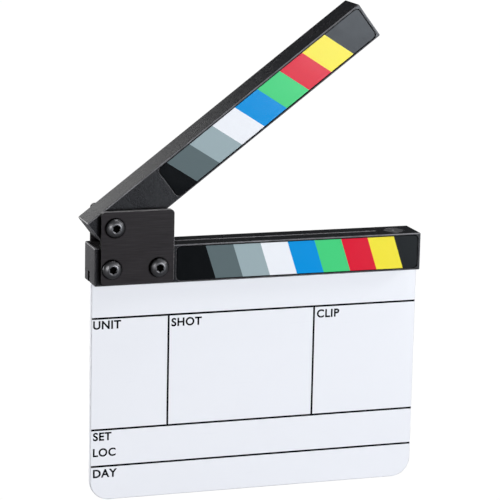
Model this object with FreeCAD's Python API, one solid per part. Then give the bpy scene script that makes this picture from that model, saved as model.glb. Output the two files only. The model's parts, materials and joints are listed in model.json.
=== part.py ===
import FreeCAD, Part
import math
import os

from FreeCAD import Vector

# A small clapperboard in millimetres, +Z up, the writing side facing -Y.
# The origin is the middle of the writing board's lower edge.

# Writing board, a white sheet
board_width = 166.0
board_height = 113.5
board_thickness = 3.0
board_corner_radius = 9.5
board_edge_break = 0.3

# Lower bar, which holds the board in a slot along its underside
bar_length = 165.0
bar_height = 18.4
bar_depth = 18.4
bar_edge_break = 0.4
bar_end_reach = 1.0  # bar past the board's edge at the hinge end
slot_depth = 5.5
slot_setback = 1.5  # slot behind the bar's middle
groove_width = 1.6
groove_depth = 1.5
groove_from_hinge_end = 22.0
groove_from_tip = 19.9

# Clap stick, the upper bar
stick_height = 19.0
stick_edge_break = 0.4
stick_tip_reach = 1.7  # closed stick past the lower bar's tip
pivot_from_stick_end = 9.0
pivot_above_underside = 9.8
pivot_from_bar_end = 9.1
opening_angle = 37.3

# Hinge plates, one in front of the bars and one behind
plate_width = 35.7
plate_height = 35.2
plate_thickness = 2.5
plate_corner_radius = 2.0
plate_from_bar_end = 2.4
rear_plate_setback = 0.7  # rear plate further from the bar's end than the front one
plate_foot = 1.0  # plate's lower edge above the bar's underside

# Button-head screws
screw_diameter = 5.0
screw_tip_reach = 1.6  # screw past the end of its nut
head_diameter = 9.5
head_height = 2.75
head_crown_share = 0.5
socket_width = 3.0
socket_depth = 1.6
left_screw_from_plate_edge = 5.3
right_screw_from_plate_edge = 7.5
screw_above_slot = 3.1

# Lock nuts with plastic rings
nut_width = 8.0
nut_height = 5.0
nut_hexagon_height = 3.7
nut_shoulder = 0.15
insert_wall = 0.7
insert_height = 1.2
collar_wall = 0.35

# Pivot sleeve and friction washers
sleeve_diameter = 8.0
friction_washer_diameter = 12.0
friction_washer_thickness = 0.8

# Round magnets, flush in the bar's top and the stick's underside
magnet_diameter = 10.0
magnet_thickness = 3.0
magnet_from_tip = 10.7

# Colour labels, each in a shallow recess in the front of bar or stick
label_thickness = 0.3
label_recess_depth = 0.5
label_margin = 1.2
label_tip_margin = 1.7
label_corner_radius = 2.0
label_from_plate = 2.4

# Clearances, and the overrun of a cut past the face that it opens
clap_gap = 0.2
stick_side_gap = 0.25
sleeve_running_clearance = 0.05
washer_running_gap = 0.05
washer_bore_clearance = 0.3
seat_clearance = 0.05
label_gap = 0.55
slot_clearance = 0.05
slot_end_gap = 0.2
screw_hole_clearance = 0.25
thread_clearance = 0.05
overrun = 1.0

# Places that follow from the sizes
along = Vector(0, 1, 0)
bar_left = -board_width / 2 - bar_end_reach
bar_right = bar_left + bar_length
bar_front = -slot_setback - bar_depth / 2
bar_back = bar_front + bar_depth
bar_middle = (bar_front + bar_back) / 2
bar_bottom = board_height - slot_depth + slot_end_gap
bar_top = bar_bottom + bar_height
plate_left = bar_left + plate_from_bar_end
plate_right = plate_left + plate_width
plate_bottom = bar_bottom + plate_foot
plate_top = plate_bottom + plate_height
head_seat = bar_front - plate_thickness
nut_seat = bar_back + plate_thickness
pivot_x = bar_left + pivot_from_bar_end
pivot_z = bar_top + clap_gap + pivot_above_underside
pivot = Vector(pivot_x, bar_middle, pivot_z)
screw_row = bar_bottom + slot_depth + screw_above_slot
screw_places = {
    "pivot": (pivot_x, pivot_z),
    "left": (plate_left + left_screw_from_plate_edge, screw_row),
    "right": (plate_right - right_screw_from_plate_edge, screw_row),
}
stick_front = bar_front + stick_side_gap
stick_back = bar_back - stick_side_gap
stick_left = pivot_x - pivot_from_stick_end
stick_right = bar_right + stick_tip_reach
stick_bottom = bar_top + clap_gap
stick_top = stick_bottom + stick_height
heel_radius = pivot_from_stick_end
washer_recess = friction_washer_thickness - stick_side_gap + washer_running_gap
screw_hole = screw_diameter + 2 * screw_hole_clearance
thread_bore = screw_diameter + 2 * thread_clearance
insert_diameter = thread_bore + 2 * insert_wall
insert_pocket = insert_diameter + 2 * seat_clearance
collar_diameter = insert_pocket + 2 * collar_wall
nut_end = nut_seat + nut_height
screw_length = nut_end + screw_tip_reach - head_seat
label_length = bar_right - label_tip_margin - plate_right - label_from_plate
magnet_x = bar_right - magnet_from_tip


def rounded_sheet(low, high, radii):
    # A sheet across Y; radii go round from the lower left corner of its front.
    corners = [
        Vector(low.x, low.y, low.z),
        Vector(high.x, low.y, low.z),
        Vector(high.x, low.y, high.z),
        Vector(low.x, low.y, high.z),
    ]
    arrive = [Vector(0, 0, -1), Vector(1, 0, 0), Vector(0, 0, 1), Vector(-1, 0, 0)]
    edges = []
    starts = []
    ends = []
    for corner, before, after, radius in zip(corners, arrive, arrive[1:] + arrive[:1], radii):
        starts.append(corner - before * radius)
        ends.append(corner + after * radius)
        if radius:
            middle = corner + (after - before) * radius * (1 - math.sqrt(0.5))
            edges.append(Part.Arc(starts[-1], middle, ends[-1]).toShape())
    for end, start in zip(ends, starts[1:] + starts[:1]):
        edges.append(Part.makeLine(end, start))
    outline = Part.Wire(Part.__sortEdges__(edges))
    return Part.Face(outline).extrude(along * (high.y - low.y))


def bevelled_bar(low, high, edge_break):
    size = high - low
    bar = Part.makeBox(size.x, size.y, size.z, low)
    return bar.makeChamfer(edge_break, bar.Edges)


def rod(diameter, x, z, front, back):
    return Part.makeCylinder(diameter / 2, back - front, Vector(x, front, z), along)


def tube(outer, inner, x, z, front, back):
    bore = rod(inner, x, z, front - overrun, back + overrun)
    return rod(outer, x, z, front, back).cut(bore)


def hexagon(width, x, z, front, back):
    reach = width / math.sqrt(3)
    corners = []
    for step in range(7):
        turn = math.radians(60 * step)
        corners.append(Vector(x + reach * math.cos(turn), front, z + reach * math.sin(turn)))
    return Part.Face(Part.makePolygon(corners)).extrude(along * (back - front))


def turned(edges, x, z, front):
    # A solid turned about Y from edges whose X is the radius.
    outline = Part.Wire(Part.__sortEdges__(edges))
    solid = Part.Face(outline).revolve(Vector(), along, 360)
    solid.translate(Vector(x, front, z))
    return solid


def joined(points):
    return [Part.makeLine(a, b) for a, b in zip(points, points[1:])]


def screw_holes(names, front, back):
    return [rod(screw_hole, *screw_places[name], front - overrun, back + overrun) for name in names]


def swung(solid):
    # Turn a piece of the closed stick to where it stands open.
    turned_solid = solid.copy()
    turned_solid.rotate(pivot, -along, opening_angle)
    return turned_solid


def writing_board():
    half = board_thickness / 2
    sheet = rounded_sheet(
        Vector(-board_width / 2, -half, 0),
        Vector(board_width / 2, half, board_height),
        [board_corner_radius, board_corner_radius, 0, 0],
    )
    # Only the edges round its two faces are broken, not those across its thickness.
    outline = [edge for edge in sheet.Edges if edge.BoundBox.YLength < half]
    return sheet.makeChamfer(board_edge_break, outline)


def lower_bar():
    bar = bevelled_bar(
        Vector(bar_left, bar_front, bar_bottom), Vector(bar_right, bar_back, bar_top), bar_edge_break
    )
    half_slot = board_thickness / 2 + slot_clearance
    slot = Part.makeBox(
        bar_length + 2 * overrun,
        2 * half_slot,
        slot_depth + overrun,
        Vector(bar_left - overrun, -half_slot, bar_bottom - overrun),
    )
    groove = Part.makeBox(
        bar_length - groove_from_hinge_end - groove_from_tip,
        groove_width,
        groove_depth + overrun,
        Vector(bar_left + groove_from_hinge_end, bar_middle - groove_width / 2, bar_top - groove_depth),
    )
    pocket = Part.makeCylinder(
        magnet_diameter / 2 + seat_clearance,
        magnet_thickness + overrun,
        Vector(magnet_x, bar_middle, bar_top - magnet_thickness),
    )
    recess = label_recess(bar_right, bar_front, bar_bottom, bar_top)
    holes = screw_holes(["left", "right"], bar_front, bar_back)
    return bar.cut([slot, groove, pocket, recess] + holes)


def clap_stick():
    stick = bevelled_bar(
        Vector(stick_left, stick_front, stick_bottom),
        Vector(stick_right, stick_back, stick_top),
        stick_edge_break,
    )
    # The heel is rounded off so that it clears the lower bar as the stick swings.
    heel_corner = Part.makeBox(
        heel_radius + overrun,
        bar_depth,
        heel_radius + overrun,
        Vector(stick_left - overrun, bar_front, stick_bottom - overrun),
    )
    heel_round = rod(2 * heel_radius, pivot_x, stick_bottom + heel_radius, bar_front, bar_back)
    bore = sleeve_diameter + 2 * sleeve_running_clearance
    washer_seat = friction_washer_diameter + 2 * seat_clearance
    pocket = Part.makeCylinder(
        magnet_diameter / 2 + seat_clearance,
        magnet_thickness + overrun,
        Vector(magnet_x, bar_middle, stick_bottom - overrun),
    )
    cuts = [
        rod(bore, pivot_x, pivot_z, stick_front - overrun, stick_back + overrun),
        rod(washer_seat, pivot_x, pivot_z, stick_front - overrun, stick_front + washer_recess),
        rod(washer_seat, pivot_x, pivot_z, stick_back - washer_recess, stick_back + overrun),
        pocket,
        heel_corner.cut(heel_round),
        label_recess(stick_right, stick_front, stick_bottom, stick_top),
    ]
    return swung(stick.cut(cuts))


def hinge_plate(front, setback):
    back = front + plate_thickness
    plate = rounded_sheet(
        Vector(plate_left + setback, front, plate_bottom),
        Vector(plate_right + setback, back, plate_top),
        [plate_corner_radius] * 4,
    )
    return plate.cut(screw_holes(screw_places, front, back))


def button_screw(name):
    head = head_diameter / 2
    crown = head * head_crown_share
    shank = screw_diameter / 2
    # The dome is part of a ball whose centre lies on the screw's axis.
    centre = Vector(0, (head**2 - crown**2 - head_height**2) / (2 * head_height), 0)
    crown_edge = Vector(crown, -head_height, 0)
    rim_edge = Vector(head, 0, 0)
    toward = ((crown_edge + rim_edge) / 2 - centre).normalize()
    dome = Part.Arc(crown_edge, centre + toward * (rim_edge - centre).Length, rim_edge).toShape()
    below = joined(
        [
            rim_edge,
            Vector(shank, 0, 0),
            Vector(shank, screw_length, 0),
            Vector(0, screw_length, 0),
            Vector(0, -head_height, 0),
            crown_edge,
        ]
    )
    x, z = screw_places[name]
    face = head_seat - head_height
    socket = hexagon(socket_width, x, z, face - overrun, face + socket_depth)
    return turned([dome] + below, x, z, head_seat).cut(socket)


def lock_nut(name):
    x, z = screw_places[name]
    shoulder = nut_seat + nut_hexagon_height
    body = hexagon(nut_width, x, z, nut_seat, shoulder)
    collar = Part.makeCone(
        nut_width / 2 - nut_shoulder,
        collar_diameter / 2,
        nut_end - shoulder,
        Vector(x, shoulder, z),
        along,
    )
    bore = rod(thread_bore, x, z, nut_seat - overrun, nut_end + overrun)
    pocket = rod(insert_pocket, x, z, nut_end - insert_height, nut_end + overrun)
    return body.fuse(collar).cut([bore, pocket])


def nut_insert(name):
    return tube(insert_diameter, thread_bore, *screw_places[name], nut_end - insert_height, nut_end)


def pivot_sleeve():
    return tube(sleeve_diameter, screw_hole, pivot_x, pivot_z, bar_front, bar_back)


def friction_washer(front):
    bore = sleeve_diameter + 2 * washer_bore_clearance
    back = front + friction_washer_thickness
    return swung(tube(friction_washer_diameter, bore, pivot_x, pivot_z, front, back))


def magnet(bottom):
    place = Vector(magnet_x, bar_middle, bottom)
    return Part.makeCylinder(magnet_diameter / 2, magnet_thickness, place)


def label_panel(right, front, back, bottom, top, gap):
    # The label's outline, grown by a gap, between two depths.
    tip_x = right - label_tip_margin
    return rounded_sheet(
        Vector(tip_x - label_length - gap, front, bottom + label_margin - gap),
        Vector(tip_x + gap, back, top - label_margin + gap),
        [label_corner_radius + gap] * 4,
    )


def label_recess(right, face, bottom, top):
    return label_panel(right, face - overrun, face + label_recess_depth, bottom, top, label_gap)


def colour_label(right, face, bottom, top):
    floor = face + label_recess_depth
    return label_panel(right, floor - label_thickness, floor, bottom, top, 0)


pieces = {
    "writing_board": writing_board(),
    "lower_bar": lower_bar(),
    "clap_stick": clap_stick(),
    "front_hinge_plate": hinge_plate(head_seat, 0),
    "rear_hinge_plate": hinge_plate(bar_back, rear_plate_setback),
    "pivot_screw": button_screw("pivot"),
    "left_plate_screw": button_screw("left"),
    "right_plate_screw": button_screw("right"),
    "pivot_nut": lock_nut("pivot"),
    "left_plate_nut": lock_nut("left"),
    "right_plate_nut": lock_nut("right"),
    "pivot_nut_insert": nut_insert("pivot"),
    "left_nut_insert": nut_insert("left"),
    "right_nut_insert": nut_insert("right"),
    "pivot_sleeve": pivot_sleeve(),
    "front_friction_washer": friction_washer(bar_front + washer_running_gap),
    "rear_friction_washer": friction_washer(bar_back - washer_running_gap - friction_washer_thickness),
    "lower_magnet": magnet(bar_top - magnet_thickness),
    "upper_magnet": swung(magnet(stick_bottom)),
    "lower_colour_label": colour_label(bar_right, bar_front, bar_bottom, bar_top),
    "upper_colour_label": swung(colour_label(stick_right, stick_front, stick_bottom, stick_top)),
}

os.makedirs("parts", exist_ok=True)
for name, solid in pieces.items():
    solid.exportStep(f"parts/{name}.step")
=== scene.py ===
import json
import math

import bmesh
import bpy
from mathutils import Matrix, Vector


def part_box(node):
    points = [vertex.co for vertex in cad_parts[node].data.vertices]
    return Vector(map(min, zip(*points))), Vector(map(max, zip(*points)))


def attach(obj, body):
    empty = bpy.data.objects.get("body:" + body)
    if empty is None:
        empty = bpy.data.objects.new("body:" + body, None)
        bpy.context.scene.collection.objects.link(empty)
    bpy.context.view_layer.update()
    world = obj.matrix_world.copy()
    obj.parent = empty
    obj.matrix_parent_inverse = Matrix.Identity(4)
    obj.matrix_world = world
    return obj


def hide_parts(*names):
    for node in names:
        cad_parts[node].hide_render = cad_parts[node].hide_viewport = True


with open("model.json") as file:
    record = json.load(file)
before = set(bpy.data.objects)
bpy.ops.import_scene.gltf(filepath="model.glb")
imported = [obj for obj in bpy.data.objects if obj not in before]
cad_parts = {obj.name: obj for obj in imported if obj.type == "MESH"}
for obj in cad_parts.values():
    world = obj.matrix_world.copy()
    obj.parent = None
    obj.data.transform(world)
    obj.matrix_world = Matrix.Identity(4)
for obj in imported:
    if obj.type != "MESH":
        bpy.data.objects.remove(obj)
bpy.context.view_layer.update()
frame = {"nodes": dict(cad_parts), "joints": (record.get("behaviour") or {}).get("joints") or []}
nodes = frame["nodes"]
scene = bpy.context.scene
mm = 0.001
mergeDistance = 0.0001 * mm


# small helpers for shader trees

mixSockets = {"below": 6, "above": 7, "result": 2}  # the Mix node's colour sockets


def addNode(tree, kind, **values):
    node = tree.nodes.new(kind)
    for name, value in values.items():
        setattr(node, name, value)
    return node


def feed(tree, node, sockets):
    for name, value in sockets.items():
        socket = node.inputs[name]
        if isinstance(value, bpy.types.NodeSocket):
            tree.links.new(value, socket)
        else:
            socket.default_value = value
    return node


def calculated(tree, operation, *values, clamp=False):
    node = addNode(tree, "ShaderNodeMath", operation=operation, use_clamp=clamp)
    return feed(tree, node, dict(enumerate(values))).outputs[0]


def product(tree, first, *others):
    for other in others:
        first = calculated(tree, "MULTIPLY", first, other)
    return first


def greatest(tree, first, *others):
    for other in others:
        first = calculated(tree, "MAXIMUM", first, other)
    return first


def mapped(tree, value, fromRange, toRange=(0.0, 1.0)):
    node = addNode(tree, "ShaderNodeMapRange")
    feed(tree, node, {
        "Value": value,
        "From Min": fromRange[0], "From Max": fromRange[1],
        "To Min": toRange[0], "To Max": toRange[1],
    })
    return node.outputs["Result"]


def spread(tree, mask, toRange):
    return mapped(tree, mask, (0.0, 1.0), toRange)


def clouded(tree, vector, scale, detail, roughness=0.5, swirl=0.0):
    node = addNode(tree, "ShaderNodeTexNoise")
    feed(tree, node, {
        "Vector": vector, "Scale": scale, "Detail": detail, "Roughness": roughness, "Distortion": swirl,
    })
    return node.outputs["Fac"]


def stretched(tree, vector, turn, scale):
    node = addNode(tree, "ShaderNodeMapping")
    feed(tree, node, {"Vector": vector, "Rotation": turn, "Scale": scale})
    return node.outputs["Vector"]


def tinted(tree, mask, below, tone):
    # below is a plain tone, or the result of another tint
    if not isinstance(below, bpy.types.NodeSocket):
        below = (*below, 1)
    node = addNode(tree, "ShaderNodeMix", data_type="RGBA")
    feed(tree, node, {"Factor": mask, mixSockets["below"]: below, mixSockets["above"]: (*tone, 1)})
    return node.outputs[mixSockets["result"]]


def bumped(tree, height, strength, depth, normal=None):
    node = addNode(tree, "ShaderNodeBump")
    feed(tree, node, {"Strength": strength, "Distance": depth, "Height": height})
    if normal:
        feed(tree, node, {"Normal": normal})
    return node.outputs["Normal"]


def faceNormal(tree):
    return addNode(tree, "ShaderNodeNewGeometry").outputs["True Normal"]


def split(tree, vector):
    return feed(tree, addNode(tree, "ShaderNodeSeparateXYZ"), {0: vector}).outputs


def newGroup(name, inputs, outputs):
    group = bpy.data.node_groups.new(name, "ShaderNodeTree")
    for side, titles in (("INPUT", inputs), ("OUTPUT", outputs)):
        for title in titles:
            kind = "NodeSocketVector" if title in ("Vector", "Normal") else "NodeSocketFloat"
            group.interface.new_socket(name=title, in_out=side, socket_type=kind)
    return group, group.nodes.new("NodeGroupInput").outputs, group.nodes.new("NodeGroupOutput")


def usedGroup(tree, group, **values):
    node = addNode(tree, "ShaderNodeGroup", node_tree=group)
    return feed(tree, node, values).outputs


# effects that several finishes share

pebbles = {"blend": 0.6, "rise": -0.7, "detail": 3.0, "roughness": 0.6, "speckle": (0.35, 0.7)}


def makePebbleGrain():
    group, given, result = newGroup("pebbleGrain", ["Vector", "Size"], ["Height", "Speckle"])
    density = calculated(group, "DIVIDE", 1.0, given["Size"])
    cells = addNode(group, "ShaderNodeTexVoronoi", feature="SMOOTH_F1")
    feed(group, cells, {"Vector": given["Vector"], "Scale": density, "Smoothness": pebbles["blend"]})
    fine = clouded(group, given["Vector"], density, pebbles["detail"], pebbles["roughness"])
    feed(group, result, {
        "Height": calculated(group, "MULTIPLY_ADD", cells.outputs["Distance"], pebbles["rise"], fine),
        "Speckle": mapped(group, fine, pebbles["speckle"]),
    })
    return group


roundedEdges = {
    "samples": 6,
    "likeness": (0.995, 0.86),  # rounded normal against the face's own, from flat to full edge
    "detail": 4.0, "roughness": 0.65, "patches": (0.35, 0.65), "least": 0.35,
}


# edges found by their rounded normals, for wear, painted highlights and painted shade along them
def makeEdgeWearAndPaintedLight():
    group, given, result = newGroup("edgeWearAndPaintedLight", ["Vector", "Width", "Patches"], ["Edge", "Normal"])
    soft = addNode(group, "ShaderNodeBevel", samples=roundedEdges["samples"])
    rounded = feed(group, soft, {"Radius": given["Width"]}).outputs["Normal"]
    flat = addNode(group, "ShaderNodeNewGeometry").outputs["Normal"]
    likeness = addNode(group, "ShaderNodeVectorMath", operation="DOT_PRODUCT")
    feed(group, likeness, {0: rounded, 1: flat})
    edge = mapped(group, likeness.outputs["Value"], roundedEdges["likeness"])
    patches = clouded(
        group, given["Vector"], given["Patches"], roundedEdges["detail"], roundedEdges["roughness"]
    )
    wornAndLit = mapped(group, patches, roundedEdges["patches"], (roundedEdges["least"], 1.0))
    feed(group, result, {
        "Edge": calculated(group, "MULTIPLY", edge, wornAndLit, clamp=True),
        "Normal": rounded,
    })
    return group


slantedEdges = {
    "slant": (0.93, 0.80),  # largest part of the closed bar's normal, from a flat face to a slant
    "lengthwise": (0.2, 0.5), "sawn": (0.90, 0.97),
    "patchScale": 140.0, "detail": 4.0, "roughness": 0.65, "patches": (0.35, 0.65), "least": 0.45,
    "rightShare": 0.5, "upward": (-0.2, 0.5), "backward": (0.2, 0.6), "backShare": 0.4,
}


def makeChamferWearAndHighlight():
    # edges cut at a slant, painted lightest above, at the right and in front: painted highlight, over worn
    # patches
    group, given, result = newGroup(
        "chamferWearAndHighlight", ["Vector", "Turn", "Ends", "Lower"], ["Edge", "Sawn", "Along"]
    )
    facing = addNode(
        group, "ShaderNodeVectorTransform", vector_type="NORMAL", convert_from="WORLD", convert_to="OBJECT"
    )
    feed(group, facing, {"Vector": faceNormal(group)})
    closed = addNode(group, "ShaderNodeVectorRotate", rotation_type="Y_AXIS")
    feed(group, closed, {"Vector": facing.outputs["Vector"], "Angle": given["Turn"]})
    parts = split(group, closed.outputs["Vector"])
    sizes = {axis: calculated(group, "ABSOLUTE", parts[axis]) for axis in "XYZ"}
    slanted = mapped(group, greatest(group, *sizes.values()), slantedEdges["slant"])
    along = greatest(group, mapped(group, sizes["Y"], slantedEdges["lengthwise"]), given["Ends"])
    patches = clouded(
        group, given["Vector"], slantedEdges["patchScale"], slantedEdges["detail"], slantedEdges["roughness"]
    )
    wornAndLit = mapped(group, patches, slantedEdges["patches"], (slantedEdges["least"], 1.0))
    upward = calculated(group, "MULTIPLY_ADD", parts["X"], slantedEdges["rightShare"], parts["Z"])
    above = mapped(group, upward, slantedEdges["upward"], (given["Lower"], 1.0))
    front = mapped(group, parts["Y"], slantedEdges["backward"], (1.0, slantedEdges["backShare"]))
    feed(group, result, {
        "Edge": product(group, slanted, along, product(group, wornAndLit, above, front)),
        "Sawn": mapped(group, sizes["X"], slantedEdges["sawn"]),
        "Along": along,
    })
    return group


touchMarks = {
    "detail": 5.0, "roughness": 0.6, "swirl": 0.8, "smudge": (0.38, 0.66),
    "slant": (0.3, 0.55, 0.2), "stretch": (60.0, 900.0, 900.0), "scratchDetail": 2.0, "scratch": (0.68, 0.74),
}


def makeHandling():
    group, given, result = newGroup("handling", ["Vector", "Scale"], ["Smudge", "Scratch"])
    cloud = clouded(
        group, given["Vector"], given["Scale"],
        touchMarks["detail"], touchMarks["roughness"], touchMarks["swirl"],
    )
    strokes = stretched(group, given["Vector"], touchMarks["slant"], touchMarks["stretch"])
    lines = clouded(group, strokes, 1.0, touchMarks["scratchDetail"])
    feed(group, result, {
        "Smudge": mapped(group, cloud, touchMarks["smudge"]),
        "Scratch": mapped(group, lines, touchMarks["scratch"]),
    })
    return group


hollowSamples = 12


def makeCavityShade():
    group, given, result = newGroup("cavityShade", ["Reach", "Open", "Shut"], ["Hollow"])
    # painted shade: the less open a surface is, the more it is marked as hollow, to be painted dark
    light = addNode(group, "ShaderNodeAmbientOcclusion", samples=hollowSamples)
    feed(group, light, {"Distance": given["Reach"]})
    feed(group, result, {"Hollow": mapped(group, light.outputs["AO"], (given["Open"], given["Shut"]))})
    return group


brushLines = {"stretch": (0.02, 1.0, 1.0), "detail": 3.0, "roughness": 0.7}


def makeBrushing():
    group, given, result = newGroup("brushing", ["Vector", "Line"], ["Streak"])
    density = calculated(group, "DIVIDE", 1.0, given["Line"])
    strokes = stretched(group, given["Vector"], (0.0, 0.0, 0.0), brushLines["stretch"])
    feed(group, result, {
        "Streak": clouded(group, strokes, density, brushLines["detail"], brushLines["roughness"]),
    })
    return group


pebbleGrain = makePebbleGrain()
edgeWearAndPaintedLight = makeEdgeWearAndPaintedLight()
chamferWearAndHighlight = makeChamferWearAndHighlight()
handling = makeHandling()
cavityShade = makeCavityShade()
brushing = makeBrushing()
print("shared effects:", len(bpy.data.node_groups), "node groups")

# where the stick stands open, from the frame's hinge
hinge = frame["joints"][0]
pivot = Vector(hinge["pos_m"])
openAngle = math.radians(-hinge["range_deg"][0])
swing = (
    Matrix.Translation(pivot)
    @ Matrix.Rotation(openAngle, 4, Vector(hinge["axis"]))
    @ Matrix.Translation(-pivot)
)


# finishes

def startFinish(name, fixed):
    material = bpy.data.materials.new(name)
    material.use_nodes = True
    tree = material.node_tree
    shader = feed(tree, tree.nodes["Principled BSDF"], fixed)
    place = addNode(tree, "ShaderNodeTexCoord").outputs["Object"]
    return material, tree, shader, place


def hollowShadeMask(tree, finish):
    used = usedGroup(tree, cavityShade, Reach=finish["reach"], Open=finish["open"], Shut=finish["shut"])
    return used["Hollow"]


barFinish = {
    "tone": (0.0025, 0.0027, 0.0038), "speckTone": (0.0190, 0.0192, 0.0222),
    "wornAndLitTone": (0.250, 0.247, 0.262), "sawnTone": (0.060, 0.059, 0.063), "sawnMost": 0.9,
    "hollowShadeTone": (0.0008, 0.0008, 0.0010), "reach": 4.0 * mm, "open": 0.72, "shut": 0.54,
    "grainSize": 0.60 * mm, "grainDepth": 0.08 * mm, "grainBump": 0.12,
    "edge": 0.32 * mm, "edgePatches": 180.0, "edgeDullness": ((0.0, 0.5), (0.0, 0.8)),
    "lip": 0.45 * mm, "lipFade": 0.8, "lipFacing": (-0.80, -0.95),
    "smudges": 45.0, "shine": 0.32, "roughness": (0.23, 0.30),
    "slants": {
        "barPlastic": {"Turn": 0.0, "Ends": 1.0, "Lower": 0.04},
        "stickPlastic": {"Turn": openAngle, "Ends": 0.0, "Lower": 0.6},
    },
}


def paintedLipHighlight(tree, place, top):
    # the groove's far wall is painted bright just below the bar's top: a painted highlight, kept out of the
    # painted shade
    lip = barFinish["lip"]
    high = mapped(tree, split(tree, place)["Z"], (top - lip, top - barFinish["lipFade"] * lip))
    return product(tree, high, mapped(tree, split(tree, faceNormal(tree))["Y"], barFinish["lipFacing"]))


def makeBarPlastic(name, grooveTop=None):
    material, tree, shader, place = startFinish(name, {"Specular IOR Level": barFinish["shine"]})
    grain = usedGroup(tree, pebbleGrain, Vector=place, Size=barFinish["grainSize"])
    wearAndEdgeLight = usedGroup(tree, edgeWearAndPaintedLight, Vector=place, Width=barFinish["edge"], Patches=barFinish["edgePatches"])
    slant = usedGroup(tree, chamferWearAndHighlight, Vector=place, **barFinish["slants"][name])
    touch = usedGroup(tree, handling, Vector=place, Scale=barFinish["smudges"])
    hollow = hollowShadeMask(tree, barFinish)
    base = tinted(tree, grain["Speckle"], barFinish["tone"], barFinish["speckTone"])
    sawnMask = spread(tree, product(tree, slant["Sawn"], grain["Speckle"]), (0.0, barFinish["sawnMost"]))
    sawn = tinted(tree, sawnMask, base, barFinish["sawnTone"])
    rubbedAndLit = greatest(tree, product(tree, wearAndEdgeLight["Edge"], slant["Along"]), slant["Edge"])
    if grooveTop:
        lip = paintedLipHighlight(tree, place, grooveTop)
        rubbedAndLit = greatest(tree, rubbedAndLit, lip)
        hollow = calculated(tree, "SUBTRACT", hollow, lip, clamp=True)
    # edges painted pale: wear, and painted highlight where the lights catch them
    wornAndLit = tinted(tree, rubbedAndLit, sawn, barFinish["wornAndLitTone"])
    # the worn and highlighted edges are duller than the faces
    dull = mapped(tree, greatest(tree, wearAndEdgeLight["Edge"], slant["Edge"]), *barFinish["edgeDullness"])
    rough = spread(tree, touch["Smudge"], barFinish["roughness"])
    feed(tree, shader, {
        "Base Color": tinted(tree, hollow, wornAndLit, barFinish["hollowShadeTone"]),
        "Metallic": hollow,  # painted shade: a hollow is painted dark and given no shine of its own
        "Roughness": greatest(tree, rough, hollow, dull),
        "Normal": bumped(
            tree, grain["Height"], barFinish["grainBump"], barFinish["grainDepth"], wearAndEdgeLight["Normal"]
        ),
    })
    return material


plateFinish = {
    "tone": (0.0120, 0.0100, 0.0112), "streakTone": (0.0300, 0.0265, 0.0290), "streaks": (0.3, 0.7),
    "line": 0.30 * mm, "lineDepth": 0.02 * mm, "lineBump": 0.25,
    "wornAndLitTone": (0.520, 0.512, 0.520), "edge": 0.48 * mm, "edgePatches": 260.0,
    "rightShare": 0.6, "upward": (-0.1, 0.4), "least": 0.15,
    "paintedTopLight": ((0.2, 0.7), (0.0, 0.6)), "paintedSideShade": (0.6, 0.9),
    "hollowShadeTone": (0.0005, 0.0005, 0.0005), "reach": 1.6 * mm, "open": 0.80, "shut": 0.40,
    "smudges": 70.0, "shine": 0.12, "roughness": ((0.0, 0.7), (0.34, 0.50)),
}


def makePlateMetal():
    material, tree, shader, place = startFinish("plateMetal", {"Specular IOR Level": plateFinish["shine"]})
    streak = usedGroup(tree, brushing, Vector=place, Line=plateFinish["line"])["Streak"]
    wearAndEdgeLight = usedGroup(
        tree, edgeWearAndPaintedLight, Vector=place, Width=plateFinish["edge"], Patches=plateFinish["edgePatches"]
    )
    touch = usedGroup(tree, handling, Vector=place, Scale=plateFinish["smudges"])
    hollow = hollowShadeMask(tree, plateFinish)
    streaked = mapped(tree, streak, plateFinish["streaks"])
    base = tinted(tree, streaked, plateFinish["tone"], plateFinish["streakTone"])
    # the upper and right edges are painted lightest: painted highlight, over worn patches
    lean = split(tree, wearAndEdgeLight["Normal"])
    upward = calculated(tree, "MULTIPLY_ADD", lean["X"], plateFinish["rightShare"], lean["Z"])
    above = mapped(tree, upward, plateFinish["upward"], (plateFinish["least"], 1.0))
    edges = product(tree, wearAndEdgeLight["Edge"], above)
    # painted highlight on the cut top, which is paler than the faces; painted shade on the cut left and right
    # sides, which are darker
    parts = split(tree, faceNormal(tree))
    paintedTopLight = mapped(tree, product(tree, parts["Z"], streak), *plateFinish["paintedTopLight"])
    paintedSideShade = mapped(tree, calculated(tree, "ABSOLUTE", parts["X"]), plateFinish["paintedSideShade"])
    wornAndLit = tinted(tree, greatest(tree, edges, paintedTopLight), base, plateFinish["wornAndLitTone"])
    rough = mapped(tree, product(tree, touch["Smudge"], streak), *plateFinish["roughness"])
    # hollows and the cut sides are painted dark: painted shade, also made dull
    dull = greatest(tree, hollow, paintedSideShade)
    feed(tree, shader, {
        "Base Color": tinted(tree, dull, wornAndLit, plateFinish["hollowShadeTone"]),
        "Metallic": dull,
        "Roughness": greatest(tree, rough, dull),
        "Normal": bumped(tree, streak, plateFinish["lineBump"], plateFinish["lineDepth"], wearAndEdgeLight["Normal"]),
    })
    return material


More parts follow.
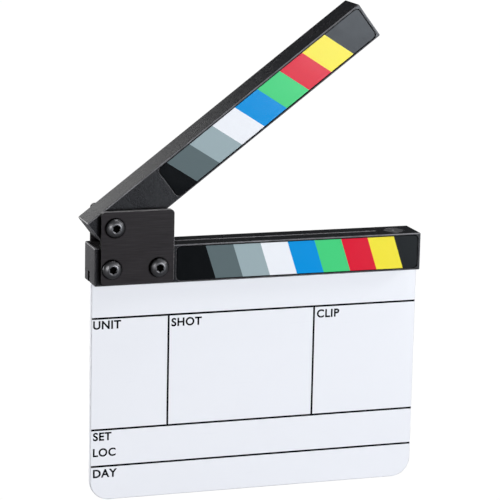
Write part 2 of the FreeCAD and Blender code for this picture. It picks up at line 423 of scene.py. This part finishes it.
metalFinishes = {
    "screwSteel": {
        "tone": (0.120, 0.120, 0.126), "mark": (0.150, 0.150, 0.157), "wornAndLit": (0.30, 0.30, 0.31),
        "metallic": 0.95, "glance": 0.12, "roughness": (0.36, 0.44), "grain": 0.22 * mm, "edge": 0.14 * mm,
        "hollowShadeTone": (0.001, 0.001, 0.001), "reach": 14.0 * mm, "open": 0.97, "shut": 0.855,
    },
    "nutZinc": {
        "tone": (0.240, 0.246, 0.258), "mark": (0.190, 0.196, 0.212), "wornAndLit": (0.36, 0.36, 0.36),
        "metallic": 1.0, "glance": 0.4, "roughness": (0.66, 0.78), "grain": 0.25 * mm, "edge": 0.25 * mm,
        "hollowShadeTone": (0.06, 0.057, 0.054), "reach": 1.5 * mm, "open": 0.80, "shut": 0.35,
    },
    "magnetNickel": {
        "tone": (0.42, 0.42, 0.44), "mark": (0.31, 0.31, 0.33), "wornAndLit": (0.62, 0.62, 0.62),
        "metallic": 0.9, "glance": 1.0, "roughness": (0.34, 0.46), "grain": 0.20 * mm, "edge": 0.40 * mm,
        "hollowShadeTone": (0.02, 0.02, 0.02), "reach": 0.5 * mm, "open": 0.80, "shut": 0.30,
    },
}
metalGrain = {"edgePatches": 500.0, "smudges": 160.0, "hollowRough": 1.4, "bump": 0.15, "depth": 0.02 * mm}


def makeMetal(name):
    finish = metalFinishes[name]
    material, tree, shader, place = startFinish(name, {
        "Metallic": finish["metallic"], "Specular Tint": (finish["glance"],) * 3 + (1,),
    })
    grain = usedGroup(tree, pebbleGrain, Vector=place, Size=finish["grain"])
    wearAndEdgeLight = usedGroup(tree, edgeWearAndPaintedLight, Vector=place, Width=finish["edge"], Patches=metalGrain["edgePatches"])
    touch = usedGroup(tree, handling, Vector=place, Scale=metalGrain["smudges"])
    hollow = hollowShadeMask(tree, finish)
    base = tinted(tree, touch["Smudge"], finish["tone"], finish["mark"])
    # edges painted pale: wear, and painted highlight, such as on the screw sockets and the magnet's rims
    wornAndLit = tinted(tree, wearAndEdgeLight["Edge"], base, finish["wornAndLit"])
    rough = spread(tree, grain["Speckle"], finish["roughness"])
    feed(tree, shader, {
        # hollows painted dark: painted shade, which makes a dark ring round each screw dome
        "Base Color": tinted(tree, hollow, wornAndLit, finish["hollowShadeTone"]),
        "Roughness": product(tree, rough, spread(tree, hollow, (1.0, metalGrain["hollowRough"]))),
        "Normal": bumped(tree, grain["Height"], metalGrain["bump"], metalGrain["depth"], wearAndEdgeLight["Normal"]),
    })
    return material


nylonFinishes = {
    "insertNylon": {"tone": (0.62, 0.61, 0.57), "mark": (0.54, 0.53, 0.49), "roughness": (0.42, 0.55)},
    "washerNylon": {"tone": (0.006, 0.006, 0.006), "mark": (0.014, 0.014, 0.014), "roughness": (0.45, 0.6)},
}
nylonGrain = {"size": 0.5 * mm, "depth": 0.02 * mm, "bump": 0.2, "smudges": 200.0}


def makeNylon(name):
    finish = nylonFinishes[name]
    material, tree, shader, place = startFinish(name, {})
    grain = usedGroup(tree, pebbleGrain, Vector=place, Size=nylonGrain["size"])
    touch = usedGroup(tree, handling, Vector=place, Scale=nylonGrain["smudges"])
    feed(tree, shader, {
        "Base Color": tinted(tree, touch["Smudge"], finish["tone"], finish["mark"]),
        "Roughness": spread(tree, grain["Speckle"], finish["roughness"]),
        "Normal": bumped(tree, grain["Height"], nylonGrain["bump"], nylonGrain["depth"]),
    })
    return material


boardFinish = {
    "tone": (0.861, 0.871, 0.911), "wiped": (0.852, 0.862, 0.903), "smudges": 22.0,
    "scratchTone": (0.74, 0.75, 0.80), "scratchMost": 0.10,
    "edge": 0.35 * mm, "edgeShadeTone": (0.74, 0.74, 0.82), "edgePatches": 120.0,
    "grainSize": 1.2 * mm, "grainDepth": 0.01 * mm, "grainBump": 0.06,
    "shine": 0.4, "roughness": (0.29, 0.34),
}


def makeBoardAcrylic():
    material, tree, shader, place = startFinish("boardAcrylic", {"Specular IOR Level": boardFinish["shine"]})
    touch = usedGroup(tree, handling, Vector=place, Scale=boardFinish["smudges"])
    wearAndEdgeLight = usedGroup(
        tree, edgeWearAndPaintedLight, Vector=place, Width=boardFinish["edge"], Patches=boardFinish["edgePatches"]
    )
    grain = usedGroup(tree, pebbleGrain, Vector=place, Size=boardFinish["grainSize"])
    base = tinted(tree, touch["Smudge"], boardFinish["tone"], boardFinish["wiped"])
    scratches = product(tree, touch["Scratch"], boardFinish["scratchMost"])
    scratched = tinted(tree, scratches, base, boardFinish["scratchTone"])
    feed(tree, shader, {
        # edges painted darker: painted shade along the board's edges
        "Base Color": tinted(tree, wearAndEdgeLight["Edge"], scratched, boardFinish["edgeShadeTone"]),
        "Roughness": spread(tree, touch["Smudge"], boardFinish["roughness"]),
        "Normal": bumped(
            tree, grain["Height"], boardFinish["grainBump"], boardFinish["grainDepth"], wearAndEdgeLight["Normal"]
        ),
    })
    return material


inkTones = {
    "black": (0.0018, 0.0026, 0.0034), "darkGrey": (0.107, 0.144, 0.153), "lightGrey": (0.320, 0.405, 0.430),
    "white": (0.830, 0.850, 0.890), "blue": (0.0010, 0.275, 0.690), "green": (0.060, 0.610, 0.200),
    "red": (0.690, 0.008, 0.032), "yellow": (0.865, 0.745, 0.040),
}
inkFinishes = {
    "label": {"shine": 0.14, "roughness": (0.17, 0.20)},
    "print": {"shine": 0.01, "roughness": (0.44, 0.52)},
}
inkGrain = {
    "size": 0.7 * mm, "depth": 0.012 * mm, "bump": 0.10, "smudges": 60.0,
    "fade": 0.96, "haze": 0.002, "mottleMost": 0.5,
}


def makeInk(name, tone, use):
    finish = inkFinishes[use]
    faded = tuple(inkGrain["fade"] * part + inkGrain["haze"] for part in tone)
    material, tree, shader, place = startFinish(name, {"Specular IOR Level": finish["shine"]})
    touch = usedGroup(tree, handling, Vector=place, Scale=inkGrain["smudges"])
    grain = usedGroup(tree, pebbleGrain, Vector=place, Size=inkGrain["size"])
    mottled = product(tree, touch["Smudge"], grain["Speckle"], inkGrain["mottleMost"])
    feed(tree, shader, {
        "Base Color": tinted(tree, mottled, tone, faded),
        "Roughness": spread(tree, touch["Smudge"], finish["roughness"]),
        "Normal": bumped(tree, grain["Height"], inkGrain["bump"], inkGrain["depth"]),
    })
    return material


barPlastic = makeBarPlastic("barPlastic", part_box("lower_bar")[1].z)
stickPlastic = makeBarPlastic("stickPlastic")
plateMetal = makePlateMetal()
screwSteel = makeMetal("screwSteel")
nutZinc = makeMetal("nutZinc")
magnetNickel = makeMetal("magnetNickel")
insertNylon = makeNylon("insertNylon")
washerNylon = makeNylon("washerNylon")
boardAcrylic = makeBoardAcrylic()
inks = {name: makeInk(name + "Ink", tone, "label") for name, tone in inkTones.items()}
printInk = makeInk("printInk", inkTones["black"], "print")

nodeFinishes = {
    "writing_board": boardAcrylic, "lower_bar": barPlastic, "clap_stick": stickPlastic,
    "front_hinge_plate": plateMetal, "rear_hinge_plate": plateMetal,
    "pivot_screw": screwSteel, "left_plate_screw": screwSteel, "right_plate_screw": screwSteel,
    "pivot_nut": nutZinc, "left_plate_nut": nutZinc, "right_plate_nut": nutZinc, "pivot_sleeve": nutZinc,
    "pivot_nut_insert": insertNylon, "left_nut_insert": insertNylon, "right_nut_insert": insertNylon,
    "front_friction_washer": washerNylon, "rear_friction_washer": washerNylon,
    "lower_magnet": magnetNickel, "upper_magnet": magnetNickel,
    "lower_colour_label": inks["black"], "upper_colour_label": inks["black"],
}
for name, finish in nodeFinishes.items():
    nodes[name].data.materials.clear()
    nodes[name].data.materials.append(finish)
print("finishes on", len(nodeFinishes), "CAD nodes")


# pieces that carry the detail

def closedBox(name):
    # a node's box with the stick laid flat, so that its sides are square
    places = [swing.inverted() @ vertex.co for vertex in nodes[name].data.vertices]
    low = Vector(min(place[axis] for place in places) for axis in range(3))
    high = Vector(max(place[axis] for place in places) for axis in range(3))
    return low, high


def newVerts(geometry):
    return [part for part in geometry if isinstance(part, bmesh.types.BMVert)]


def thickened(bm, depth):
    grown = bmesh.ops.extrude_face_region(bm, geom=bm.faces[:], use_keep_orig=True)
    bmesh.ops.translate(bm, verts=newVerts(grown["geom"]), vec=(0, depth, 0))
    bmesh.ops.recalc_face_normals(bm, faces=bm.faces)


def newObject(name, bm, materials):
    mesh = bpy.data.meshes.new(name)
    bm.to_mesh(mesh)
    bm.free()
    for material in materials:
        mesh.materials.append(material)
    made = bpy.data.objects.new(name, mesh)
    scene.collection.objects.link(made)
    return made


def newPiece(name, bm, materials, body):
    piece = newObject(name, bm, materials)
    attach(piece, body)
    return piece


# striped colour labels

stripeOrder = ["black", "darkGrey", "lightGrey", "white", "blue", "green", "red", "yellow", "black"]
stripedLabels = {  # first is where the first stripe ends, halfway up the label
    "lowerStripes": {
        "node": "lower_colour_label", "body": "slate",
        "first": -26.78 * mm, "pitch": 13.744 * mm, "lean": 0.326, "corner": 2.0 * mm, "cornerSteps": 8,
    },
    "upperStripes": {
        "node": "upper_colour_label", "body": "stick",
        "first": -33.38 * mm, "pitch": 13.87 * mm, "lean": 0.373, "corner": 2.0 * mm, "cornerSteps": 8,
    },
}


def makeStripes(name):
    label = stripedLabels[name]
    onStick = label["body"] == "stick"
    low, high = closedBox(label["node"]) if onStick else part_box(label["node"])
    middle = (low.z + high.z) / 2
    bm = bmesh.new()
    corners = [(low.x, low.z), (high.x, low.z), (high.x, high.z), (low.x, high.z)]
    bm.faces.new([bm.verts.new((x, low.y, z)) for x, z in corners])
    bmesh.ops.bevel(
        bm, geom=bm.verts[:], offset=label["corner"], affect="VERTICES",
        segments=label["cornerSteps"], profile=0.5, material=-1,
    )
    across = Vector((1, 0, label["lean"])).normalized()
    for step in range(len(stripeOrder) - 1):
        cut = Vector((label["first"] + step * label["pitch"], low.y, middle))
        everything = bm.verts[:] + bm.edges[:] + bm.faces[:]
        bmesh.ops.bisect_plane(bm, geom=everything, plane_co=cut, plane_no=across)
    for face in bm.faces:
        centre = face.calc_center_median()
        distance = centre.x + label["lean"] * (centre.z - middle) - label["first"]
        step = math.floor(distance / label["pitch"]) + 1
        face.material_index = min(max(step, 0), len(stripeOrder) - 1)
    thickened(bm, high.y - low.y)
    if onStick:
        bmesh.ops.transform(bm, matrix=swing, verts=bm.verts)
    piece = newPiece(name, bm, [inks[tone] for tone in stripeOrder], label["body"])
    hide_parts(label["node"])


for name in stripedLabels:
    makeStripes(name)
print("striped labels:", len(stripedLabels))


# turned pieces: half an outline spun about its axis

def spunShape(outline, steps):
    bm = bmesh.new()
    points = [bm.verts.new((radius, 0, height)) for radius, height in outline]
    chain = [bm.edges.new(pair) for pair in zip(points, points[1:])]
    bmesh.ops.spin(
        bm, geom=points + chain, cent=(0, 0, 0), axis=(0, 0, 1),
        angle=2 * math.pi, steps=steps, use_merge=True,
    )
    bmesh.ops.remove_doubles(bm, verts=bm.verts, dist=mergeDistance)
    return bm


def smoothPiece(piece, angle):
    piece.data.shade_smooth()
    piece.data.set_sharp_from_angle(angle=math.radians(angle))


buttonScrews = {
    "names": {
        "pivotButtonScrew": "pivot_screw",
        "leftButtonScrew": "left_plate_screw",
        "rightButtonScrew": "right_plate_screw",
    },
    "steps": 48, "sharpAngle": 32,
    "headHeight": 2.75 * mm, "headRadius": 4.75 * mm, "crownRadius": 2.25 * mm, "domeRows": 10,
    "rim": 0.45 * mm, "rimRound": 0.10 * mm,
    "socketSides": 6, "socketWidth": 3.0 * mm, "socketDepth": 1.6 * mm, "flare": 0.30 * mm,
    "drillPoint": 0.45 * mm, "drillShare": 0.85,
    "shankRadius": 2.5 * mm, "threadDepth": 0.42 * mm, "pitch": 0.8 * mm,
    "threadLength": 4.0 * mm, "threadRow": 0.1 * mm, "tipChamfer": 0.4 * mm,
}
socketRadius = buttonScrews["socketWidth"] / math.sqrt(3)  # out to the hexagon's corners


def screwOutline(length):
    screw = buttonScrews
    radius, top, rim = screw["headRadius"], screw["headHeight"], screw["rim"]
    outline = [(socketRadius + screw["flare"], top)]
    # the dome is a quarter of an oval, cut off flat at the crown
    crownTurn = math.acos(screw["crownRadius"] / radius)
    rise = (top - rim) / math.sin(crownTurn)
    for step in range(screw["domeRows"] + 1):
        turn = crownTurn * (1 - step / screw["domeRows"])
        outline.append((radius * math.cos(turn), rim + rise * math.sin(turn)))
    outline += [(radius, screw["rimRound"]), (radius - screw["rimRound"], 0), (screw["shankRadius"], 0)]
    rows = round((screw["threadLength"] - screw["tipChamfer"]) / screw["threadRow"])
    for step in range(rows + 1):
        outline.append((screw["shankRadius"], screw["threadLength"] - length - step * screw["threadRow"]))
    return outline + [(screw["shankRadius"] - screw["tipChamfer"], -length), (0, -length)]


def cutThread(bm, length):
    screw = buttonScrews
    for vert in bm.verts:
        depth = screw["threadLength"] - length - vert.co.z
        if depth > 0:
            turn = math.atan2(vert.co.y, vert.co.x) / (2 * math.pi)
            groove = 1 - abs(2 * ((vert.co.z / screw["pitch"] - turn) % 1) - 1)
            vert.co.xy = vert.co.xy * (1 - min(depth, screw["threadDepth"]) * groove / screw["shankRadius"])


def sunkRing(bm, ring, share, drop):
    grown = bmesh.ops.extrude_edge_only(bm, edges=ring)["geom"]
    verts = newVerts(grown)
    bmesh.ops.scale(bm, verts=verts, vec=(share, share, 1))
    bmesh.ops.translate(bm, verts=verts, vec=(0, 0, -drop))
    return [part for part in grown if isinstance(part, bmesh.types.BMEdge) and set(part.verts) <= set(verts)]


def looseEdges(bm):
    return [edge for edge in bm.edges if edge.is_wire]


def sinkSocket(bm):
    screw = buttonScrews
    mouth = [edge for edge in bm.edges if edge.is_boundary]
    brinkPlace = Matrix.Translation((0, 0, screw["headHeight"] - screw["flare"]))
    bmesh.ops.create_circle(bm, segments=screw["socketSides"], radius=socketRadius, matrix=brinkPlace)
    bmesh.ops.subdivide_edges(bm, edges=looseEdges(bm), cuts=screw["steps"] // screw["socketSides"] - 1)
    brink = looseEdges(bm)
    floor = sunkRing(bm, brink, 1.0, screw["socketDepth"] - screw["flare"])
    bmesh.ops.bridge_loops(bm, edges=mouth + brink)
    drilled = sunkRing(bm, floor, screw["drillShare"], 0.0)
    sunkRing(bm, drilled, 0.0, screw["drillPoint"])
    bmesh.ops.remove_doubles(bm, verts=bm.verts, dist=mergeDistance)


def makeButtonScrew(name, node):
    low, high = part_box(node)
    seat = low.y + buttonScrews["headHeight"]
    bm = spunShape(screwOutline(high.y - seat), buttonScrews["steps"])
    cutThread(bm, high.y - seat)
    sinkSocket(bm)
    bmesh.ops.recalc_face_normals(bm, faces=bm.faces)
    centre = Matrix.Translation(((low.x + high.x) / 2, seat, (low.z + high.z) / 2))
    place = centre @ Matrix.Rotation(math.pi / 2, 4, "X")
    bmesh.ops.transform(bm, matrix=place, verts=bm.verts)
    piece = newPiece(name, bm, [screwSteel], "slate")
    smoothPiece(piece, buttonScrews["sharpAngle"])
    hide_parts(node)


for name, node in buttonScrews["names"].items():
    makeButtonScrew(name, node)
print("button screws:", len(buttonScrews["names"]))

discMagnets = {
    "lowerDiscMagnet": {"node": "lower_magnet", "body": "slate", "faceUp": True},
    "upperDiscMagnet": {"node": "upper_magnet", "body": "stick", "faceUp": False},
}
discShape = {
    "steps": 64, "sharpAngle": 30, "rimChamfer": 0.45 * mm,
    "dimpleRadius": 1.3 * mm, "dimpleDepth": 0.66 * mm, "dimpleFloor": 0.3 * mm,
}


def discOutline(radius, height):
    disc = discShape
    chamfer = disc["rimChamfer"]
    return [
        (0, -disc["dimpleDepth"]), (disc["dimpleFloor"], -disc["dimpleDepth"]), (disc["dimpleRadius"], 0),
        (radius - chamfer, 0), (radius, -chamfer),
        (radius, chamfer - height), (radius - chamfer, -height), (0, -height),
    ]


def makeDiscMagnet(name):
    magnet = discMagnets[name]
    onStick = magnet["body"] == "stick"
    low, high = closedBox(magnet["node"]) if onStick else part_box(magnet["node"])
    bm = spunShape(discOutline((high.x - low.x) / 2, high.z - low.z), discShape["steps"])
    bmesh.ops.recalc_face_normals(bm, faces=bm.faces)
    face = high.z if magnet["faceUp"] else low.z
    place = Matrix.Translation(((low.x + high.x) / 2, (low.y + high.y) / 2, face))
    if not magnet["faceUp"]:
        place = place @ Matrix.Rotation(math.pi, 4, "X")
    if onStick:
        place = swing @ place
    bmesh.ops.transform(bm, matrix=place, verts=bm.verts)
    piece = newPiece(name, bm, [magnetNickel], magnet["body"])
    smoothPiece(piece, discShape["sharpAngle"])
    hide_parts(magnet["node"])


for name in discMagnets:
    makeDiscMagnet(name)
print("disc magnets:", len(discMagnets))


# printing on the board

boardLow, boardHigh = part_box("writing_board")
boardFace = boardLow.y
fieldLines = {
    "width": 0.95 * mm, "thickness": 0.04 * mm, "fromEdge": 0.35 * mm,
    "rows": [90.36 * mm, 35.22 * mm, 16.91 * mm], "columns": [-44.58 * mm, 29.73 * mm],
}


def makeFieldLines():
    half = fieldLines["width"] / 2
    left = boardLow.x + fieldLines["fromEdge"]
    right = boardHigh.x - fieldLines["fromEdge"]
    spans = [(left, right, z - half, z + half) for z in fieldLines["rows"]]
    upper, lower = fieldLines["rows"][:2]
    spans += [(x - half, x + half, lower + half, upper - half) for x in fieldLines["columns"]]
    bm = bmesh.new()
    for x0, x1, z0, z1 in spans:
        corners = [(x0, z0), (x1, z0), (x1, z1), (x0, z1)]
        bm.faces.new([bm.verts.new((x, boardFace, z)) for x, z in corners])
    thickened(bm, -fieldLines["thickness"])
    newPiece("fieldLines", bm, [printInk], "slate")


makeFieldLines()

fieldNames = {
    "height": 4.2 * mm, "thickness": 0.04 * mm,
    "boldness": 0.028, "spacing": 1.09, "merge": 1e-5,  # in the letters' own units
    "words": {  # left end and top of each
        "UNIT": (-82.10 * mm, 89.20 * mm),
        "SHOT": (-43.15 * mm, 88.60 * mm),
        "CLIP": (31.25 * mm, 88.60 * mm),
        "SET": (-81.70 * mm, 33.95 * mm),
        "LOC": (-81.70 * mm, 25.95 * mm),
        "DAY": (-81.60 * mm, 15.40 * mm),
    },
}


def flatLetters(word):
    curve = bpy.data.curves.new("letters", "FONT")
    curve.body = word
    curve.offset = fieldNames["boldness"]
    curve.space_character = fieldNames["spacing"]
    letters = bpy.data.objects.new("letters", curve)
    scene.collection.objects.link(letters)
    bpy.context.view_layer.update()
    mesh = bpy.data.meshes.new_from_object(letters.evaluated_get(bpy.context.evaluated_depsgraph_get()))
    bpy.data.objects.remove(letters)
    bm = bmesh.new()
    bm.from_mesh(mesh)
    bpy.data.meshes.remove(mesh)
    bmesh.ops.remove_doubles(bm, verts=bm.verts, dist=fieldNames["merge"])
    return bm


def makeFieldName(word, left, top):
    bm = flatLetters(word)
    startX = min(vert.co.x for vert in bm.verts)
    capTop = max(vert.co.y for vert in bm.verts)
    size = fieldNames["height"] / (capTop - min(vert.co.y for vert in bm.verts))
    upright = Matrix.Rotation(math.pi / 2, 4, "X") @ Matrix.Scale(size, 4)
    shift = Matrix.Translation((left - startX * size, boardFace, top - capTop * size))
    bmesh.ops.transform(bm, matrix=shift @ upright, verts=bm.verts)
    thickened(bm, -fieldNames["thickness"])
    newPiece("fieldName" + word.title(), bm, [printInk], "slate")


for word, (left, top) in fieldNames["words"].items():
    makeFieldName(word, left, top)
print("printing: lines and", len(fieldNames["words"]), "field names")


# camera at the photograph's viewing angle

cameraSetup = {
    "place": (-0.383927, -1.123704, 0.377236), "yaw": 18.7001, "pitch": 12.2416, "roll": 1.225,
    "lens": 180.7256, "sensor": 36.0, "nearest": 0.05, "farthest": 50.0,
}


def makeCamera():
    lens = bpy.data.cameras.new("camera")
    lens.lens = cameraSetup["lens"]
    lens.sensor_width = cameraSetup["sensor"]
    lens.clip_start = cameraSetup["nearest"]
    lens.clip_end = cameraSetup["farthest"]
    camera = bpy.data.objects.new("camera", lens)
    turn = (
        Matrix.Rotation(math.radians(-cameraSetup["yaw"]), 4, "Z")
        @ Matrix.Rotation(math.radians(90.0 - cameraSetup["pitch"]), 4, "X")
        @ Matrix.Rotation(math.radians(cameraSetup["roll"]), 4, "Z")
    )
    camera.matrix_world = Matrix.Translation(cameraSetup["place"]) @ turn
    scene.collection.objects.link(camera)
    scene.camera = camera


makeCamera()
print("camera: lens", cameraSetup["lens"], "mm")


# pale floor, white surroundings and soft lights

white = (1.0, 1.0, 1.0)
studio = {  # metres and watts
    "floorSize": 9.0, "floorTone": (0.25, 0.25, 0.26), "floorGlow": 1.02,
    "roomTone": (0.92, 0.95, 1.0), "roomStrength": 0.05, "aim": (0.0, 0.0, 0.12),
    "lights": {
        "overhead": {"place": (0.34, -0.16, 1.40), "size": (0.6, 0.3), "power": 4.6, "tone": white},
        "rightKey": {"place": (1.25, -2.20, 0.46), "size": (0.72, 0.58), "power": 30.0, "tone": white},
        "frontFill": {"place": (-0.76, -1.15, 0.30), "size": (0.44, 0.28), "power": 6.1, "tone": white},
        "frontRight": {
            "place": (0.44, -0.95, 0.135), "size": (0.20, 0.18), "power": 1.95, "tone": (0.82, 0.90, 1.0),
        },
        "upperRight": {"place": (0.95, -0.45, 0.62), "size": (0.25, 0.25), "power": 2.4, "tone": white},
        "lowRight": {
            "place": (0.26, -0.40, 0.032), "size": (0.10, 0.06), "power": 0.053, "tone": (0.82, 0.92, 1.0),
        },
        "sideLeft": {"place": (-1.05, 1.05, 0.30), "size": (0.8, 0.6), "power": 25.0, "tone": white},
        "backLeft": {"place": (-0.13, 1.30, 0.312), "size": (0.34, 0.46), "power": 0.85, "tone": white},
        "lowLeft": {"place": (-0.52, 1.28, 0.12), "size": (0.30, 0.22), "power": 2.0, "tone": white},
    },
}


def cameraMix(tree, lit, seen):
    # the camera meets the second shader, and all other light the first
    ray = addNode(tree, "ShaderNodeLightPath").outputs["Is Camera Ray"]
    mix = addNode(tree, "ShaderNodeMixShader")
    return feed(tree, mix, {0: ray, 1: lit.outputs[0], 2: seen.outputs[0]}).outputs[0]


def makeFloor():
    material = bpy.data.materials.new("paleFloor")
    material.use_nodes = True
    tree = material.node_tree
    tree.nodes.clear()
    plain = feed(tree, addNode(tree, "ShaderNodeBsdfDiffuse"), {"Color": (*studio["floorTone"], 1)})
    glow = feed(tree, addNode(tree, "ShaderNodeEmission"), {"Strength": studio["floorGlow"]})
    feed(tree, addNode(tree, "ShaderNodeOutputMaterial"), {"Surface": cameraMix(tree, plain, glow)})
    bm = bmesh.new()
    bmesh.ops.create_grid(bm, x_segments=1, y_segments=1, size=studio["floorSize"] / 2)
    floor = newObject("floor", bm, [material])


def makeRoom():
    world = bpy.data.worlds.new("room")
    world.use_nodes = True
    tree = world.node_tree
    dim = tree.nodes["Background"]
    feed(tree, dim, {"Color": (*studio["roomTone"], 1), "Strength": studio["roomStrength"]})
    bright = feed(tree, addNode(tree, "ShaderNodeBackground"), {"Color": (*white, 1), "Strength": 1.0})
    feed(tree, tree.nodes["World Output"], {"Surface": cameraMix(tree, dim, bright)})
    scene.world = world


def makeLight(name):
    setup = studio["lights"][name]
    lamp = bpy.data.lights.new(name, "AREA")
    lamp.shape = "RECTANGLE"
    lamp.size, lamp.size_y = setup["size"]
    lamp.energy = setup["power"]
    lamp.color = setup["tone"]
    light = bpy.data.objects.new(name, lamp)
    light.location = setup["place"]
    light.rotation_euler = (Vector(studio["aim"]) - light.location).to_track_quat("-Z", "Y").to_euler()
    light.visible_camera = False
    scene.collection.objects.link(light)


makeFloor()
makeRoom()
for name in studio["lights"]:
    makeLight(name)
scene.view_settings.view_transform = "Standard"
print("stage: floor, room and", len(studio["lights"]), "lights")
